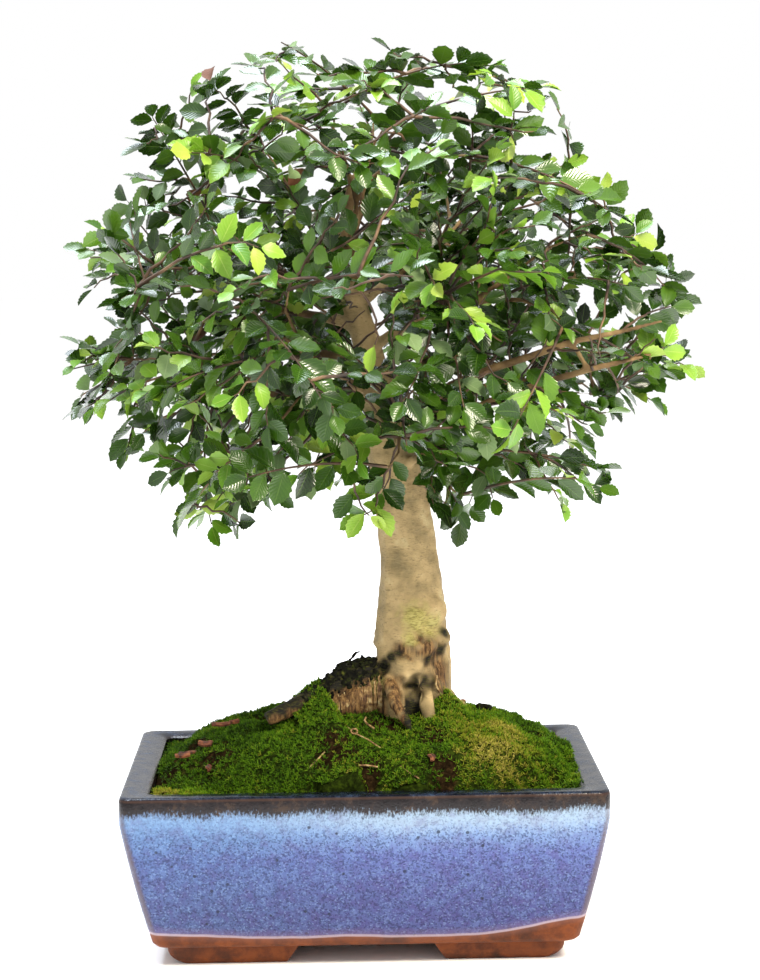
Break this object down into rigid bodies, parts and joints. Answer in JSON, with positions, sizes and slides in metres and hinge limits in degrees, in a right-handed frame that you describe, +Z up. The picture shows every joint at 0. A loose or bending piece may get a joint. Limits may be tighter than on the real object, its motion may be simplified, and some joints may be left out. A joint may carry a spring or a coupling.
{
  "type": "potted bonsai tree",
  "caption": "Small-leaved elm bonsai with a domed leafy crown, tapering trunk and surface roots, on a mossy mound in a rectangular glazed pot with feet.",
  "frame": {"origin": "centre of the footprint of the whole tree and pot, on the plane of the pot's feet", "axes": "+Z up the trunk, X along the pot's long side, +Y to the back, with the front facing -Y"},
  "size_m": [0.3334, 0.2892, 0.4566],
  "materials": {
    "glazed_stoneware": "gloss",
    "black_plastic_mesh": "matte",
    "potting_soil": "matte",
    "moss": "matte",
    "elm_bark": "matte",
    "mature_elm_leaf": "satin",
    "young_elm_leaf": "satin"
  },
  "bodies": {
    "root": {"drain_screen_left": "black_plastic_mesh", "drain_screen_right": "black_plastic_mesh", "moss": "moss", "pot": "glazed_stoneware", "soil": "potting_soil", "spray_01": "mature_elm_leaf", "spray_02": "mature_elm_leaf", "spray_03": "mature_elm_leaf", "spray_04": "young_elm_leaf", "spray_05": "mature_elm_leaf", "spray_06": "mature_elm_leaf", "spray_07": "mature_elm_leaf", "spray_08": "young_elm_leaf", "spray_09": "mature_elm_leaf", "spray_10": "mature_elm_leaf", "spray_11": "mature_elm_leaf", "spray_12": "young_elm_leaf", "spray_13": "mature_elm_leaf", "spray_14": "mature_elm_leaf", "spray_15": "mature_elm_leaf", "spray_16": "young_elm_leaf", "spray_17": "mature_elm_leaf", "spray_18": "mature_elm_leaf", "spray_19": "mature_elm_leaf", "spray_20": "young_elm_leaf", "spray_21": "mature_elm_leaf", "spray_22": "mature_elm_leaf", "spray_23": "mature_elm_leaf", "spray_24": "young_elm_leaf", "spray_25": "mature_elm_leaf", "spray_26": "mature_elm_leaf", "spray_27": "mature_elm_leaf", "spray_28": "young_elm_leaf", "spray_29": "mature_elm_leaf", "spray_30": "mature_elm_leaf", "spray_31": "mature_elm_leaf", "spray_32": "young_elm_leaf", "spray_33": "mature_elm_leaf", "spray_34": "mature_elm_leaf", "spray_35": "mature_elm_leaf", "spray_36": "young_elm_leaf", "spray_37": "mature_elm_leaf", "spray_38": "mature_elm_leaf", "spray_39": "mature_elm_leaf", "spray_40": "young_elm_leaf", "spray_41": "mature_elm_leaf", "spray_42": "mature_elm_leaf", "spray_43": "mature_elm_leaf", "spray_44": "young_elm_leaf", "spray_45": "mature_elm_leaf", "spray_46": "mature_elm_leaf", "spray_47": "mature_elm_leaf", "tree": "elm_bark"}
  },
  "joints": []
}
